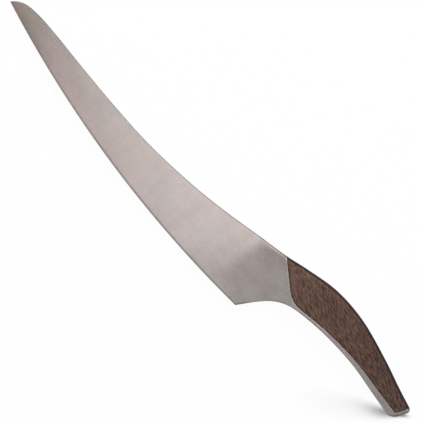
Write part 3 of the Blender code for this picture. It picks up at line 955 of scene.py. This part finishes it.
# Floor
FLOOR_SIZE = 40.0
PAPER = (400.0, 400.0, 400.0)  # fineness per metre of the paper's grain
DARK_PAPER = (0.88, 0.88, 0.88)
LIGHT_PAPER = (0.94, 0.94, 0.94)
SHADE_CENTRE = (189.5 * MM, 15.4 * MM, 0)  # where the floor under the butt keeps its whole shadow
SHADE_TURN = radians(42.8)  # from the knife's X: the shadow fades out against this way
SHADE_CLEAR = 0.96  # of the floor's own light, out of the shadow
SHADE_SIDE_BAND = (-8 * MM, 40 * MM)  # against that way: the shadow widens on both sides
SHADE_ABOVE = (2.1 * MM, 11.5 * MM)
SHADE_BELOW = (-2.5 * MM, -18.0 * MM)
SHADE_NEAR_BAND = (2 * MM, 16 * MM)  # against that way: it fades fast, and then slowly
SHADE_NEAR = 0.62
SHADE_FAR_BAND = (16 * MM, 80 * MM)
SHADE_AHEAD_BAND = (8 * MM, 18 * MM)  # that way


def studio_floor():
    """A white sweep. Only the floor beside the butt keeps a full shadow, as in the photograph."""
    material, white = new_material("white_sweep")
    place = white.coordinates["Object"]
    from_shade = white.turned(white.vector("SUBTRACT", place, SHADE_CENTRE), -SHADE_TURN)
    ahead, across, _ = white.axes(from_shade)
    tail = white.math("MULTIPLY", ahead, -1.0)
    above = white.math("DIVIDE", across, white.line(tail, *SHADE_SIDE_BAND, *SHADE_ABOVE))
    below = white.math("DIVIDE", across, white.line(tail, *SHADE_SIDE_BAND, *SHADE_BELOW))
    shade = white.product(
        white.span(white.math("MAXIMUM", above, below), 0.0, 1.0, 1.0, 0.0),
        white.line(tail, *SHADE_NEAR_BAND, 1.0, SHADE_NEAR),
        white.line(tail, *SHADE_FAR_BAND, 1.0, 0.0),
        white.span(ahead, *SHADE_AHEAD_BAND, 1.0, 0.0),
    )
    paper = white.mix(white.noise(place, PAPER), DARK_PAPER, LIGHT_PAPER)
    paint = white.node("BsdfDiffuse", {"Color": paper})
    light = white.node("Emission", {"Color": WHITE, "Strength": 1.0})
    path = white.node("LightPath").outputs
    seen = white.math("MAXIMUM", path["Is Camera Ray"], path["Is Glossy Ray"])
    seen = white.math("MAXIMUM", seen, path["Is Transmission Ray"])
    share = white.math("MULTIPLY", seen, white.line(shade, 0.0, 1.0, SHADE_CLEAR, 0.0))
    both = white.node("MixShader", {0: share, 1: paint.outputs[0], 2: light.outputs[0]})
    white.surface(both.outputs[0])

    mesh = bpy.data.meshes.new("floor")
    half = FLOOR_SIZE / 2
    corners = [(-half, -half, 0), (half, -half, 0), (half, half, 0), (-half, half, 0)]
    mesh.from_pydata(corners, [], [(0, 1, 2, 3)])
    mesh.materials.append(material)
    floor = bpy.data.objects.new("floor", mesh)
    bpy.context.scene.collection.objects.link(floor)


# Light. Each of the studio's walls is a level between two places along an axis, as seen from the knife: axis,
# first place, last place, level there, level there
WALLS = (
    (0, -0.1, 0.6, 0.46, 0.2),
    (2, 0.0, 0.5, 0.6, 1.0),
    (2, 0.95, 0.995, 1.0, 0.65),
    (1, -0.08, -0.35, 1.0, 1.3),
    (1, 0.35, 0.75, 1.0, 2.6),
)
SOFTBOX_PLACE = (-0.02, 0.05, 1.0)
SOFTBOX_AIM = (-0.02, 0.05, 0.0)
SOFTBOX_SIZE = (0.23, 0.26)
SOFTBOX_POWER = 0.322
KEY_PLACE = (-0.6, 1.05, 1.8)
KEY_AIM = (0.0, 0.0, 0.0)
KEY_SIZE = (1.3, 1.3)
KEY_POWER = 32.0


def area_lamp(name, place, aim, size, power):
    data = bpy.data.lights.new(name, "AREA")
    data.shape = "RECTANGLE"
    data.size, data.size_y = size
    data.energy = power
    lamp = bpy.data.objects.new(name, data)
    lamp.location = place
    lamp.rotation_euler = (Vector(aim) - Vector(place)).to_track_quat("-Z", "Y").to_euler()
    bpy.context.scene.collection.objects.link(lamp)
    return lamp


def studio_light():
    world = bpy.data.worlds.new("studio")
    world.use_nodes = True
    sky = Nodes(world.node_tree)
    way = sky.axes(sky.coordinates["Generated"])
    level = sky.product(*(sky.span(way[axis], *wall) for axis, *wall in WALLS))
    shader = sky.node("Background", {"Color": sky.grey(level), "Strength": 1.0})
    sky.tree.links.new(shader.outputs[0], sky.node("OutputWorld").inputs["Surface"])
    bpy.context.scene.world = world

    area_lamp("softbox", SOFTBOX_PLACE, SOFTBOX_AIM, SOFTBOX_SIZE, SOFTBOX_POWER)
    key = area_lamp("key", KEY_PLACE, KEY_AIM, KEY_SIZE, KEY_POWER)
    key.visible_glossy = False


def studio_camera():
    distance = PICTURE_WIDTH * LENS / SENSOR
    data = bpy.data.cameras.new("camera")
    data.lens = LENS
    data.sensor_width = SENSOR
    camera = bpy.data.objects.new("camera", data)
    camera.location = (PICTURE_CENTRE.x, PICTURE_CENTRE.y, PICTURE_PLANE + distance)
    camera.rotation_euler = (0, 0, PICTURE_TURN)
    bpy.context.scene.collection.objects.link(camera)
    bpy.context.scene.camera = camera


def build():
    form = envelope_mesh()
    placing = placement(form)
    holes = pin_hole_mesh()
    steel, oak, brass = brushed_steel(), dark_oak(), turned_brass()

    cuts = [(holes, "DIFFERENCE")]
    for side, turn in (("left", 1), ("right", -1)):
        pocket = recess_mesh(f"{side}_pocket", turn, TANG_THICKNESS / 2, 0, -STEEL_BREAK)
        cuts.append((pocket, "DIFFERENCE"))
    forging = carve("knife_forging", form.copy(), cuts)
    dress(forging, steel, "blade_forging", placing)

    for side, turn in (("left", 1), ("right", -1)):
        foot = TANG_THICKNESS / 2 + SEAT_CLEARANCE
        blank = recess_mesh(f"{side}_blank", turn, foot, SEAM, WOOD_BREAK)
        scale = carve(f"{side}_wood", form.copy(), [(blank, "INTERSECT"), (holes, "DIFFERENCE")])
        dress(scale, oak, f"{side}_scale", placing)

    for name in ("front_pin", "middle_pin", "rear_pin"):
        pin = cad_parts[name]
        pin.data.materials.clear()
        pin.data.materials.append(brass)

    studio_floor()
    studio_light()
    studio_camera()
    bpy.context.scene.view_settings.view_transform = "Standard"


build()
